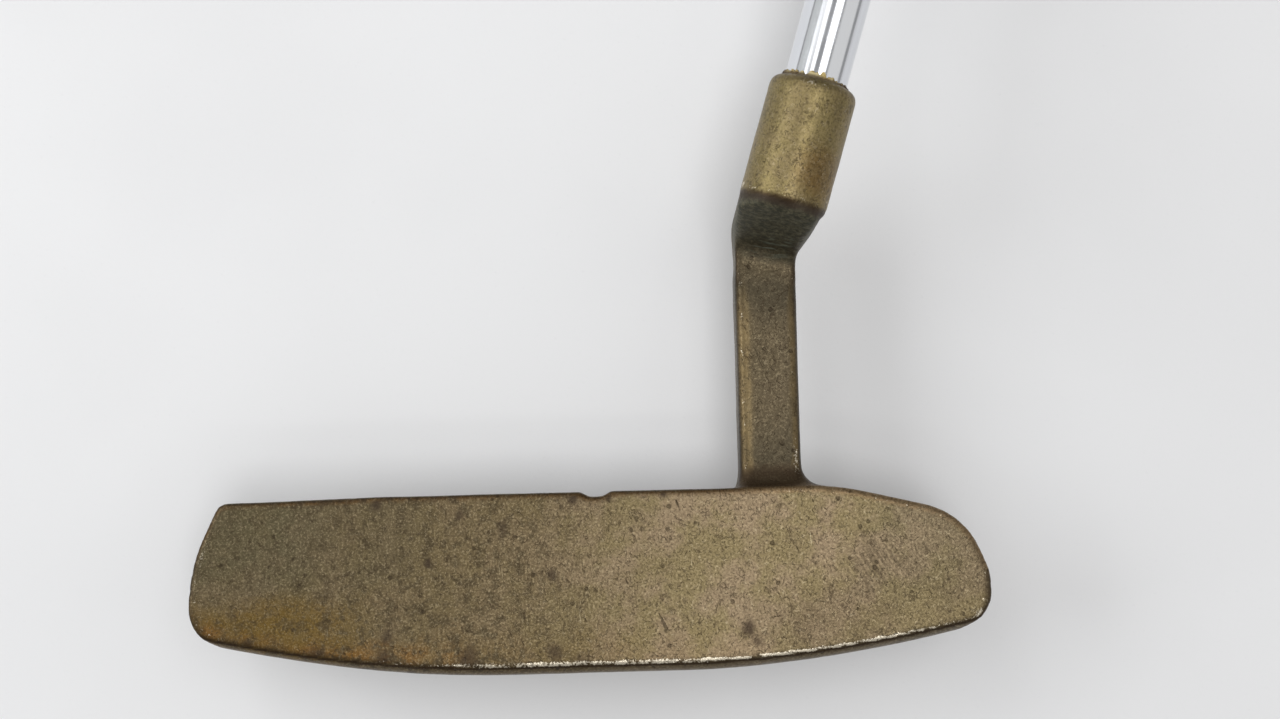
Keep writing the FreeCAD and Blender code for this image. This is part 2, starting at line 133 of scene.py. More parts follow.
# Studio: strength of the room, and the lamps as name, (right, up, height) from the face in metres, size,
# power and colour
ROOM_STRENGTH = 0.33
TABLE_HALF_M = 12.0
LAMPS = [
    ("heel_panel", (0.13, -0.12, 1.35), (0.45, 0.5), 3.8, (1, 1, 1)),
    ("top_panel", (0.28, 0.34, 1.20), (0.5, 0.45), 1.6, (1, 1, 1)),
    ("high_window", (-0.30, 0.38, 0.75), (0.2, 0.7), 0.6, (1, 1, 1)),
    ("near_window", (-0.30, 0.45, 0.45), (0.4, 0.4), 0.4, (1, 1, 1)),
    ("toe_window", (-0.65, 0.10, 0.45), (0.4, 0.5), 2.0, (0.97, 0.99, 1.0)),
    ("toe_wall", (-0.90, 0.56, 0.33), (0.5, 0.8), 0.4, (0.97, 1.0, 0.97)),
    ("heel_wall", (0.95, 0.1, 0.65), (1.0, 0.8), 1.1, (1.0, 0.98, 0.95)),
    ("front_lamp", (0.05, -0.62, 1.25), (1.0, 0.08), 0.7, (1, 1, 1)),
]


# ---------------------------------------------------------------- frames and measuring


def columns(x, y, z, origin):
    """The matrix of a frame from its three axes and its origin."""
    matrix = Matrix((x, y, z)).transposed().to_4x4()
    matrix.translation = origin
    return matrix


def head_frame(mounts):
    """Where the head frame is in the row frame."""
    normal = Vector(mounts["striking_face"]["axis"])
    to_heel = Vector((normal.y, -normal.x, 0)).normalized()
    return columns(to_heel, -normal, normal.cross(to_heel), Vector(mounts["striking_face"]["pos_m"]))


def shaft_frame(mounts, head):
    """Where the shaft frame is in the row frame."""
    along = Vector(mounts["lower_shaft"]["axis"])
    to_toe = -head.to_3x3().col[0]
    flat = (to_toe - along * along.dot(to_toe)).normalized()
    origin = Vector(mounts["lower_shaft"]["pos_m"]) - along * PLAIN_RUN_MIDDLE * MM
    return columns(flat, along.cross(flat), along, origin)


def camera_frame(head):
    """Where the camera is: level, above the face, and turned a little from the head's own direction."""
    to_heel = head.to_3x3().col[0]
    right = Matrix.Rotation(math.radians(CAMERA_ROLL_DEG), 3, "Z") @ to_heel
    level = Vector((0, 0, 1))
    top = level.cross(right)
    offset = right * CAMERA_TO_HEEL + top * CAMERA_TO_TOP + level * CAMERA_HEIGHT
    return columns(right, top, level, head.translation + offset * MM)


def node_points(node, place):
    """A CAD node's vertices in a frame, in millimetres."""
    to_frame = place.inverted()
    return np.array([to_frame @ v.co for v in node.data.vertices]) / MM


def node_tree(node, place):
    """A search tree of a CAD node's surface in a frame, in millimetres."""
    faces = [tuple(face.vertices) for face in node.data.polygons]
    return BVHTree.FromPolygons([Vector(p) for p in node_points(node, place)], faces)


def round_profile(node, place):
    """The outer (height, radius) corners of a CAD node that is round about its frame's z axis."""
    widest = {}
    for x, y, z in node_points(node, place):
        height = round(z, 2)
        widest[height] = max(widest.get(height, 0), math.hypot(x, y))
    return sorted(widest.items())


def outline_radii(tree, height, angles):
    """How far a surface is from the z axis at a height, in each direction."""
    radii = []
    for angle in angles:
        away = Vector((math.cos(angle), math.sin(angle), 0))
        hit = tree.ray_cast(away * 60 + Vector((0, 0, height)), -away)
        radii.append(math.hypot(hit[0].x, hit[0].y))
    return np.array(radii)


# ---------------------------------------------------------------- small maths


def smooth_step(values, low, high):
    """0 below low, 1 above high, and a smooth rise between them."""
    t = np.clip((values - low) / (high - low), 0, 1)
    return t * t * (3 - 2 * t)


def fall(values, low, high):
    """1 below low, 0 above high, and a smooth fall between them."""
    return 1 - smooth_step(values, low, high)


def band(values, start, full, fade, end):
    """A smooth rise from start to full, 1 between full and fade, and a smooth fall from fade to end."""
    return smooth_step(values, start, full) * fall(values, fade, end)


def patch(points, x, z, half_x, half_z):
    """A soft round patch on the front of the head: 1 in its middle and 0 outside it."""
    away = np.hypot((points[:, 0] - x) / half_x, (points[:, 2] - z) / half_z)
    return fall(away, 0.25, 1.0)


def noise_at(points, size, seed):
    """Smooth noise from about -1 to 1 at each point, with features of about that size."""
    shift = Vector((seed * 17.31, seed * 5.77, seed * 9.13))
    return np.array([noise.noise(Vector(p) / size + shift) for p in points])


# ---------------------------------------------------------------- meshes


def add_piece(name, mesh, place, replaced, material):
    """Puts a finished mesh in the scene as a piece that stands for a CAD node."""
    mesh.transform(place)
    piece = bpy.data.objects.new(name, mesh)
    bpy.context.scene.collection.objects.link(piece)
    mesh.materials.clear()
    mesh.materials.append(material)
    mesh.shade_smooth()
    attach(piece, "root")
    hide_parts(replaced)
    return piece


def ring_mesh(name, rings):
    """Quads through rings of points, whose last ring is joined to the first."""
    around = len(rings[0])
    count = len(rings)
    faces = []
    for i in range(count):
        low = i * around
        high = (i + 1) % count * around
        for j in range(around):
            k = (j + 1) % around
            faces.append((low + j, low + k, high + k, high + j))
    mesh = bpy.data.meshes.new(name)
    mesh.from_pydata((np.concatenate(rings) * MM).tolist(), [], faces)
    mesh.validate()
    return mesh


def ring(radii, angles, heights):
    """One ring of points from radii and heights, each a number or one per angle."""
    return np.column_stack(
        [radii * np.cos(angles), radii * np.sin(angles), heights * np.ones(len(angles))]
    )


def turns(count):
    """Evenly spaced angles round the z axis."""
    return np.arange(count) * 2 * math.pi / count


def store(mesh, name, values):
    """Keeps a number per vertex for the material to read."""
    layer = mesh.attributes.new(name, "FLOAT", "POINT")
    layer.data.foreach_set("value", np.clip(values, 0, 1).astype(np.float32))


class Surface:
    """A dense mesh as arrays in millimetres, with the averaging over neighbours that sculpting needs."""

    def __init__(self, mesh):
        self.mesh = mesh
        self.count = len(mesh.vertices)
        flat = np.empty(self.count * 3)
        mesh.vertices.foreach_get("co", flat)
        self.points = flat.reshape(-1, 3) / MM
        ends = np.empty(len(mesh.edges) * 2, int)
        mesh.edges.foreach_get("vertices", ends)
        self.one, self.other = ends.reshape(-1, 2).T
        self.degree = self.sum_over_edges(np.ones(self.count))

    def sum_over_edges(self, values):
        """The sum of each vertex's neighbours' values."""
        forth = np.bincount(self.one, weights=values[self.other], minlength=self.count)
        back = np.bincount(self.other, weights=values[self.one], minlength=self.count)
        return forth + back

    def relaxed(self, points, times, share=0.5):
        """Points moved towards their neighbours' mean, a share of the way each time."""
        for _ in range(times):
            sums = [self.sum_over_edges(column) / self.degree for column in points.T]
            mean = np.column_stack(sums)
            points = points + share * (mean - points)
        return points

    def normals(self):
        """Outward unit normals of the points as they are now."""
        self.write()
        flat = np.empty(self.count * 3)
        self.mesh.vertices.foreach_get("normal", flat)
        return flat.reshape(-1, 3)

    def write(self):
        """Puts the points back in the mesh."""
        self.mesh.vertices.foreach_set("co", (self.points * MM).ravel())
        self.mesh.update()


def remeshed(node, place, voxel):
    """An even, closed mesh of a CAD node in a frame."""
    mesh = node.data.copy()
    mesh.transform(place.inverted())
    joined = bmesh.new()
    joined.from_mesh(mesh)
    bmesh.ops.remove_doubles(joined, verts=joined.verts, dist=MM * 0.001)
    joined.to_mesh(mesh)
    joined.free()
    holder = bpy.data.objects.new("remesh_source", mesh)
    bpy.context.scene.collection.objects.link(holder)
    remesh = holder.modifiers.new("even", "REMESH")
    remesh.mode = "VOXEL"
    remesh.voxel_size = voxel * MM
    graph = bpy.context.evaluated_depsgraph_get()
    even = bpy.data.meshes.new_from_object(holder.evaluated_get(graph))
    bpy.data.objects.remove(holder)
    bpy.data.meshes.remove(mesh)
    for layer in [a.name for a in even.attributes if not a.is_required and not a.is_internal]:
        even.attributes.remove(even.attributes[layer])
    return even


# ---------------------------------------------------------------- head


def settle_on_cad(surface, tree):
    """Puts every vertex exactly on the CAD surface, which takes the remesh's ripple away."""
    surface.points = np.array([tree.find_nearest(Vector(p))[0] for p in surface.points])


def soften(surface, shaft_in_head):
    """Rounds every edge a little and blends the elbow of the neck.

    Returns the points in the shaft frame.
    """
    surface.points = surface.relaxed(surface.points, EDGE_SOFTENING)
    height = np.abs(surface.points[:, 2] - ELBOW_MIDDLE_Z)
    local = (surface.points - np.array(shaft_in_head.translation) / MM) @ np.array(shaft_in_head.to_3x3())
    off_axis = np.hypot(local[:, 0], local[:, 1])
    in_bore = (off_axis < BORE_CLEARANCE_RADIUS) & (local[:, 2] > -0.5)
    share = 0.5 * fall(height, ELBOW_HALF - 3, ELBOW_HALF) * ~in_bore
    surface.points = surface.relaxed(surface.points, NECK_SOFTENING, share[:, None])
    return local


def dent(surface, front):
    """Casting unevenness, small dents and pits as real geometry; the front stays flatter than the rest."""
    points = surface.points
    normals = surface.normals()
    waves = 0.05 * noise_at(points, 9.0, 1) + 0.025 * noise_at(points, 3.0, 2)
    pits = smooth_step(noise_at(points, 1.7, 3), 0.42, 0.7)
    dents = smooth_step(noise_at(points, 4.5, 4), 0.5, 0.8)
    depth = waves * (1 - 0.75 * front) - 0.05 * pits * (1 - 0.6 * front) - 0.06 * dents * (1 - 0.8 * front)
    surface.points = points + normals * depth[:, None]


def nick_edges(surface, convex):
    """Knocks small nicks out of the sharpest edges."""
    normals = surface.normals()
    bite = smooth_step(noise_at(surface.points, 1.3, 5), 0.15, 0.6) * convex
    surface.points = surface.points - normals * (NICK_DEPTH * bite)[:, None]


def blade_wear_and_highlight(points, normals, breakup, patches):
    """The bright line along the leading edge, worn bare bronze with a painted highlight where its rounding
    tilts towards the front lamp, and the rubbed rims of the toe and the heel.
    """
    x, y, z = points.T
    tilt = np.hypot(normals[:, 0], normals[:, 2])
    front = fall(y, 0.5, 1.0) * (normals[:, 1] < 0)
    leading_edge = front * fall(normals[:, 2], -0.12, -0.04) * fall(z, -6, -4)
    along = smooth_step(x + 4 * patches, -40, -12) * (1 - 0.5 * smooth_step(x, 42, 54))
    thin = 0.78 + 0.45 * breakup + 0.25 * patches
    beside_nick = smooth_step(np.abs(x - SOLE_NICK_X), 0.3, 1.1)
    # sole_line: worn bare bronze along the leading edge, with a painted highlight picked by the rounding's
    # tilt towards the front lamp
    sole_line = leading_edge * band(tilt, 0.14, 0.28, 0.36, 0.50) * along * thin * beside_nick
    rim = front * band(tilt, 0.02, 0.08, 0.3, 0.55)
    toe = 0.3 * fall(x, -56, -52) * smooth_step(breakup, -0.3, 0.35)
    upward = smooth_step(normals[:, 2], 0.1, 0.2)
    heel_top = 0.36 * upward * smooth_step(x, 22, 30) * smooth_step(breakup, -0.45, 0.4)
    heel_low = 0.32 * smooth_step(x, 53, 56.5) * fall(z, -1, 3) * smooth_step(breakup, -0.2, 0.4)
    return sole_line + rim * (toe + heel_top + heel_low)


def post_wear(points, normals, breakup, patches):
    """The rubbed bevels down both sides of the post's front."""
    _, y, z = points.T
    turn = normals[:, 0]
    foot = fall(z, 15.5, 26)
    toe_bevel = band(-turn, 0.10, 0.28, 0.5, 0.72) * np.clip(0.10 + 0.45 * breakup + 0.2 * patches, 0, 1)
    heel_bevel = band(turn, 0.10, 0.28, 0.5, 0.72) * np.clip(0.05 + 0.3 * breakup + 0.35 * foot, 0, 1)
    return band(z, 14.0, 16.5, 46, 49) * fall(y, 3.0, 5.0) * (toe_bevel + heel_bevel)


def edge_wear_and_highlight(points, normals, convex, along_shaft):
    """Where hands, grass and bags have rubbed the patina off the edges, and the painted highlight along the
    leading edge.
    """
    _, y, z = points.T
    breakup = noise_at(points, 1.1, 6)
    patches = noise_at(points, 6.0, 7)
    wear_and_highlight = blade_wear_and_highlight(points, normals, breakup, patches) + post_wear(points, normals, breakup, patches)
    behind = (0.14 + 0.18 * patches + 0.22 * breakup) * smooth_step(y, 1.5, 4)
    socket = 0.2 * smooth_step(z, 60, 66)
    socket_foot = band(along_shaft, -0.9, -0.3, 0.5, 1.6) * (y < NECK_FRONT_Y)
    glints = socket_foot * smooth_step(breakup, 0.0, 0.5) * (0.35 + 0.3 * patches)
    return np.clip(wear_and_highlight + convex * (behind + socket) + glints, 0, 1)


def gold_stain(points, drift):
    """The golden tarnish of the lower toe, thinning out towards the heel."""
    x, _, z = points.T
    toe = smooth_step(-x + 6 * drift, 25, 42) * smooth_step(-z + 3 * drift, -1.0, 4.0)
    rest = 0.3 * smooth_step(-z + 4 * drift, 3, 11) * smooth_step(-x, -45, 10)
    return np.maximum(toe, rest)


def rust_stain(points, normals, drift, fine, front):
    """Brown rust along the toe's lower edge, on the top rail's rim and on one side of the socket."""
    x, y, z = points.T
    edge_height = -8.7 - 0.025 * (x + 27) + 0.016 * np.clip(-42 - x, 0, None) ** 2
    low_edge = smooth_step(edge_height - z + 1.1 * fine, -2.0, 0.9)
    low_edge = smooth_step(-x + 4 * drift, 14, 28) * low_edge * (0.8 + 0.4 * fine) * front
    top_rim = band(normals[:, 2], 0.12, 0.3, 0.6, 0.8) * fall(y, 0.8, 1.4) * band(z, 2, 5, 18, 20)
    socket = patch(points, 34.3, 57.5, 5.0, 5.5) * (y < NECK_FRONT_Y)
    return np.maximum.reduce([low_edge, 0.75 * top_rim * fall(x, 20, 50), 0.6 * socket])


def grey_stain(points, drift, fine):
    """The grey-green cast of the upper toe, and a weaker one at the heel."""
    x, _, z = points.T
    toe = smooth_step(-x + 8 * drift, 20, 48) * smooth_step(z + 4 * drift, -4, 4)
    heel_end = smooth_step(x + 6 * drift, 34, 50) * smooth_step(z + 3 * fine, -8, 2)
    return np.maximum(toe, 0.5 * heel_end)


def brown_and_painted_shade(points, normals, along_shaft):
    """Dark brown lines: a painted shade band under the leading edge where its rounding turns down, dark
    brown round the post's foot, and a painted shadow line under the socket's overhang.
    """
    _, y, z = points.T
    # painted shade: the dark band where the leading edge's rounding turns down, away from the lamps
    under_line = band(-normals[:, 2], 0.42, 0.54, 0.62, 0.7) * fall(y, 0.8, 1.4) * fall(z, -6, -4)
    flare = band(z, 13.3, 14.0, 15.8, 17.8) * fall(y, 3, 6)
    # painted shadow: a dark line just under the socket's overhang
    foot_line = band(along_shaft, -2.6, -1.6, -0.9, -0.2) * (y < NECK_FRONT_Y) * smooth_step(z, 50, 52)
    return np.maximum.reduce([under_line, 0.7 * flare, 0.9 * foot_line])


def dark_spots(points, fine, front):
    """The soft dark spots on the striking face."""
    spots = np.zeros(len(points))
    for x, z, size, strength in DARK_SPOTS:
        around = patch(points + 0.6 * fine[:, None], x, z, size, size * 1.2)
        spots = np.maximum(spots, strength * around * front)
    return spots


def neck_stains_and_shade(points, normals, along_shaft, hollow, fine):
    """The marks of the post, the elbow and the socket: the elbow's black crust deepened by painted shade,
    painted shade in the recesses, verdigris, gilt bevels, and a dark patina with a painted shadow below the
    elbow.
    """
    x, y, z = points.T
    before = fall(y, 4, 9)
    slant = z + 0.22 * (x - 27) + 1.2 * fine
    under_socket = fall(along_shaft + 0.25 * fine, -1.5, -0.9)
    soot_and_shade = under_socket * smooth_step(slant, 47.0, 51.5) * before
    barrel = smooth_step(along_shaft, -1.6, -1.0) * smooth_step(z, 50, 53)
    post = band(z, 15, 17, 47, 50) * fall(y, 5, 7)
    turn = normals[:, 0]
    toe_bevel = band(-turn, -0.01, 0.10, 0.72, 0.9)
    heel_bevel = band(turn, 0.1, 0.28, 0.6, 0.8)
    # ends: darker towards the post's foot, and in a band below the elbow as painted shadow of the barrel's
    # overhang
    ends = np.maximum(fall(z, 17, 27), band(slant, 36, 42, 43.5, 46.5))
    return {
        # the dark crust under the socket, deepened as painted shade where the elbow faces down, and painted
        # shade in the recesses
        "soot_and_shade": np.maximum(soot_and_shade, 0.8 * smooth_step(hollow, 0.14, 0.5)),
        "barrel": barrel,
        "gilt": post * fall(z, 36, 46) * np.maximum(toe_bevel, 0.85 * heel_bevel),
        "verdigris": patch(points + 0.5 * fine[:, None], 28.5, 49.2, 4.5, 2.0) * before,
        "neck": before * smooth_step(z, 14, 16) * (1 - barrel) * (0.6 + 0.4 * ends),
    }


def face_stains_and_shade(points, drift, front):
    """The broad shades of the striking face: darker at the toe, partly as painted shade of the light falling
    off across the face, darker at the lower heel, and one brushed patch.
    """
    x, _, z = points.T
    heel_end = 0.6 * smooth_step(x + 5 * drift - z, 36, 60)
    return {
        "front": front,
        "brushed": patch(points, 42.3, 1.5, 7.0, 5.5) * front,
        "heel_shade": np.maximum(heel_end, patch(points, 36, -6.5, 17, 8)) * front,
        # toe_shade: the patina's darker tone, partly painted shade, from the middle of the face to the toe
        "toe_shade": smooth_step(-x + 5 * drift, -19, 15) * (1 - 0.2 * smooth_step(-x, 33, 48)),
    }


def stains_and_shade(points, normals, along_shaft, hollow, front):
    """How far each tone of the patina and each painted shade reaches, by name."""
    drift = noise_at(points, 9.0, 8)
    fine = noise_at(points, 2.2, 9)
    return {
        "gold": gold_stain(points, drift),
        "rust": rust_stain(points, normals, drift, fine, front),
        "grey": grey_stain(points, drift, fine),
        "brown": brown_and_painted_shade(points, normals, along_shaft),
        "spots": dark_spots(points, fine, front),
        **neck_stains_and_shade(points, normals, along_shaft, hollow, fine),
        **face_stains_and_shade(points, drift, front),
    }


def bronze_head(node, place, shaft_in_head, material):
    """The head casting, worn, pitted and stained, with the masks for its painted shade and highlights."""
    voxel = HEAD_VOXEL
    mesh = remeshed(node, place, voxel)
    surface = Surface(mesh)
    settle_on_cad(surface, node_tree(node, place))
    along_shaft = soften(surface, shaft_in_head)[:, 2]
    normals = surface.normals()
    blurred = surface.relaxed(surface.points, 8)
    sharpness = ((surface.points - blurred) * normals).sum(1)
    convex = smooth_step(sharpness, 0.03, 0.13)
    # hollow: how deep each point sits in a recess, for the painted shade there
    broad = surface.relaxed(blurred, 60)
    hollow = -((surface.points - broad) * normals).sum(1)
    front = smooth_step(-normals[:, 1], 0.9, 0.98) * fall(surface.points[:, 1], 0.1, 0.5)
    nick_edges(surface, convex * fall(surface.points[:, 2], 5, 10))
    dent(surface, front)
    surface.write()
    normals = surface.relaxed(normals, NORMAL_EASING)
    x, y, z = surface.points.T
    # painted light: the heel's top rim, where it faces up, made lighter
    painted_lit_rim = smooth_step(x, 18, 28) * smooth_step(normals[:, 2], 0.05, 0.2) * fall(z, 13.5, 15)
    # the rubbed bare bronze, with a painted highlight along the leading edge
    store(mesh, "wear_and_highlight", edge_wear_and_highlight(surface.points, normals, convex, along_shaft))
    # edge: the sharp rims, for painted shade on their roundings; the painted light rim at the heel is left
    # out
    store(mesh, "edge", convex * (1 - painted_lit_rim))
    store(mesh, "painted_lit_rim", painted_lit_rim * fall(y, 0.8, 1.6))
    for name, values in stains_and_shade(surface.points, normals, along_shaft, hollow, front).items():
        store(mesh, name, values)
    return add_piece("bronze_head", mesh, place, "head_casting", material)


# ---------------------------------------------------------------- shaft and glue


def chromed_shaft(node, place, material):
    """The stepped tube with every step eased, and its bore."""
    corners = round_profile(node, place)
    heights = np.array([height for height, _ in corners])
    radii = np.array([radius for _, radius in corners])
    rows = {heights[0], heights[-1]}
    for height in heights[1:-1]:
        rows.update(height + STEP_ROUNDING * k / 3 for k in range(-3, 4))
    for low, high in zip(heights[:-1], heights[1:]):
        rows.update(np.linspace(low, high, max(2, int((high - low) / SHAFT_ROW_GAP))))
    rows = np.array(sorted(rows))
    spread = np.linspace(-STEP_ROUNDING, STEP_ROUNDING, 9)
    eased = np.mean([np.interp(rows + shift, heights, radii) for shift in spread], axis=0)
    angles = turns(SHAFT_SEGMENTS)
    outside = [ring(radius, angles, height) for radius, height in zip(eased, rows)]
    inside = [ring(radius - SHAFT_WALL, angles, height) for radius, height in zip(eased[::-12], rows[::-12])]
    inside.append(ring(eased[0] - SHAFT_WALL, angles, rows[0]))
    mesh = ring_mesh("chromed_shaft", outside + inside)
    return add_piece("chromed_shaft", mesh, place, "shaft", material)


def glue_crust(node, place, material):
    """The glue in the socket, with the crumbly collar that stands out of its mouth."""
    corners = round_profile(node, place)
    floor, bore = corners[0]
    mouth = corners[-3][0]
    top, shaft_skin = corners[-1]
    bead = max(radius for _, radius in corners)
    angles = turns(CRUST_SEGMENTS)
    circle = ring(bead, angles, mouth)
    lumps = noise_at(circle, 1.6, 21)
    crumbs = noise_at(circle, 0.55, 22)
    golden = (0.5 + 0.5 * np.cos(angles - CRUST_TALLEST_ANGLE)) ** 2
    tall = (top - mouth) * np.clip(0.15 + 0.9 * golden + 0.4 * lumps + 0.75 * crumbs, 0.12, 1.5)
    wide = (bead - shaft_skin) * np.clip(0.95 + 0.5 * noise_at(circle, 1.6, 23), 0.4, 1.6)
    inner = shaft_skin - 0.05
    rings = [ring(inner, angles, floor), ring(bore, angles, floor), ring(bore, angles, mouth - 0.6)]
    for row in range(CRUST_ROWS + 1):
        bend = math.pi / 2 * row / CRUST_ROWS
        grain = 0.09 * noise_at(ring(bead + row, angles, mouth), 0.3, 24 + row)
        heights = mouth - 0.15 + tall * math.sin(bend) + grain
        rings.append(ring(inner + wide * math.cos(bend) + grain, angles, heights))
    rings.append(ring(inner, angles, mouth))
    mesh = ring_mesh("glue_crust", rings)
    above = np.concatenate(rings)[:, 2] - mouth
    store(mesh, "root", fall(above, 0.15, 0.6))
    store(mesh, "golden", np.tile(smooth_step(golden, 0.35, 0.8), len(rings)))
    return add_piece("glue_crust", mesh, place, "epoxy_bond", material)


# ---------------------------------------------------------------- grip


def grip_relief(angles, height, length, radii):
    """How far the moulded pattern of the grip stands in or out at a height above its mouth."""
    front = np.cos(angles)
    on_front = smooth_step(front, 0.80, 0.83)
    on_side = fall(front, 0.66, 0.69)
    on_border = fall(np.abs(front - 0.745), 0.02, 0.045)
    low = GRIP_PATTERN_FROM_MOUTH
    high = length - GRIP_PATTERN_FROM_BUTT
    body = band(height, low, low + 1.5, high, high + 1.5)

    across = radii * np.sin(angles) / DIMPLE_PITCH + 0.5
    column = across % 1 - 0.5
    row = (height / DIMPLE_PITCH + 0.5 * (np.floor(across) % 2)) % 1 - 0.5
    dimple = fall(np.hypot(column, row), 0.16, 0.34)
    slant = np.abs((angles - math.pi) * HERRINGBONE_TURN % HERRINGBONE_RISE - HERRINGBONE_RISE / 2)
    herringbone = fall(np.abs((height + slant) / HERRINGBONE_PITCH % 1 - 0.5), 0.1, 0.22)
    pattern = DIMPLE_DEPTH * dimple * on_front + HERRINGBONE_DEPTH * herringbone * on_side
    relief = -body * (pattern + BORDER_DEPTH * on_border)
    for groove in (*GROOVES_FROM_MOUTH, *(length - away for away in GROOVES_FROM_BUTT)):
        relief = relief - GROOVE_DEPTH * fall(abs(height - groove), 0.5, 1.0)
    seam = fall(np.abs(np.abs(radii * angles) - radii * math.pi / 2), 0.15, 0.5)
    return relief + SEAM_HEIGHT * seam * (1 - body)


def rubber_grip(node, place, hole, material):
    """The pistol grip with its moulded pattern, its mouth and its bore."""
    tree = node_tree(node, place)
    points = node_points(node, place)
    mouth = points[:, 2].min()
    butt = points[:, 2].max()
    length = butt - mouth
    low = mouth + GRIP_END_INSET
    high = butt - GRIP_END_INSET
    angles = turns(GRIP_SEGMENTS)
    signed = (angles + math.pi) % (2 * math.pi) - math.pi
    rings = []
    for height in np.linspace(low, high, int(length / GRIP_ROW_PITCH)):
        radii = outline_radii(tree, height, angles)
        relief = grip_relief(signed, height - mouth, length, radii)
        into = max(0.0, 1 - (height - mouth) / GRIP_MOUTH_ROUND)
        rounding = GRIP_MOUTH_ROUND * (1 - math.sqrt(1 - into * into))
        rings.append(ring(radii + relief - rounding, angles, height))
    rings.append(ring(hole, angles, high))
    rings.append(ring(hole, angles, (mouth + butt) / 2))
    rings.append(ring(hole, angles, mouth + 0.6))
    rings.append(ring(hole + 0.5, angles, low))
    mesh = ring_mesh("rubber_grip", rings)
    return add_piece("rubber_grip", mesh, place, "grip", material)


def butt_cap(node, place, material):
    """The hard cap: a rounded rim, a fine groove, a shallow dish and the vent."""
    tree = node_tree(node, place)
    points = node_points(node, place)
    low = points[:, 2].min()
    high = points[:, 2].max()
    angles = turns(GRIP_SEGMENTS)
    outline = outline_radii(tree, low + 0.4, angles)
    edge_round = (high - low) / 2
    rings = [ring(VENT_RADIUS, angles, low), ring(outline * 0.5, angles, low)]
    rings.append(ring(outline - 0.25, angles, low))
    rings.append(ring(outline - 0.02, angles, low + 0.25))
    for row in range(CAP_ROUND_ROWS + 1):
        bend = math.pi / 2 * row / CAP_ROUND_ROWS
        radii = outline - edge_round * (1 - math.cos(bend))
        rings.append(ring(radii, angles, high - edge_round * (1 - math.sin(bend))))
    for share, sunk in CAP_DISH:
        rings.append(ring(outline * share, angles, high - sunk))
    for wider, sunk in ((0.5, 0.32), (0.12, 0.4), (0, 0.6)):
        rings.append(ring(VENT_RADIUS + wider, angles, high - sunk))
    mesh = ring_mesh("butt_cap", rings)
    return add_piece("butt_cap", mesh, place, "grip_cap", material)


# ---------------------------------------------------------------- materials


def tone(red, green, blue):
    """A colour as a picture shows it, from 0 to 255, in the linear values that a shader takes."""
    linear = []
    for value in (red, green, blue):
        share = value / 255
        linear.append(share / 12.92 if share <= 0.04045 else ((share + 0.055) / 1.055) ** 2.4)
    return (*linear, 1.0)


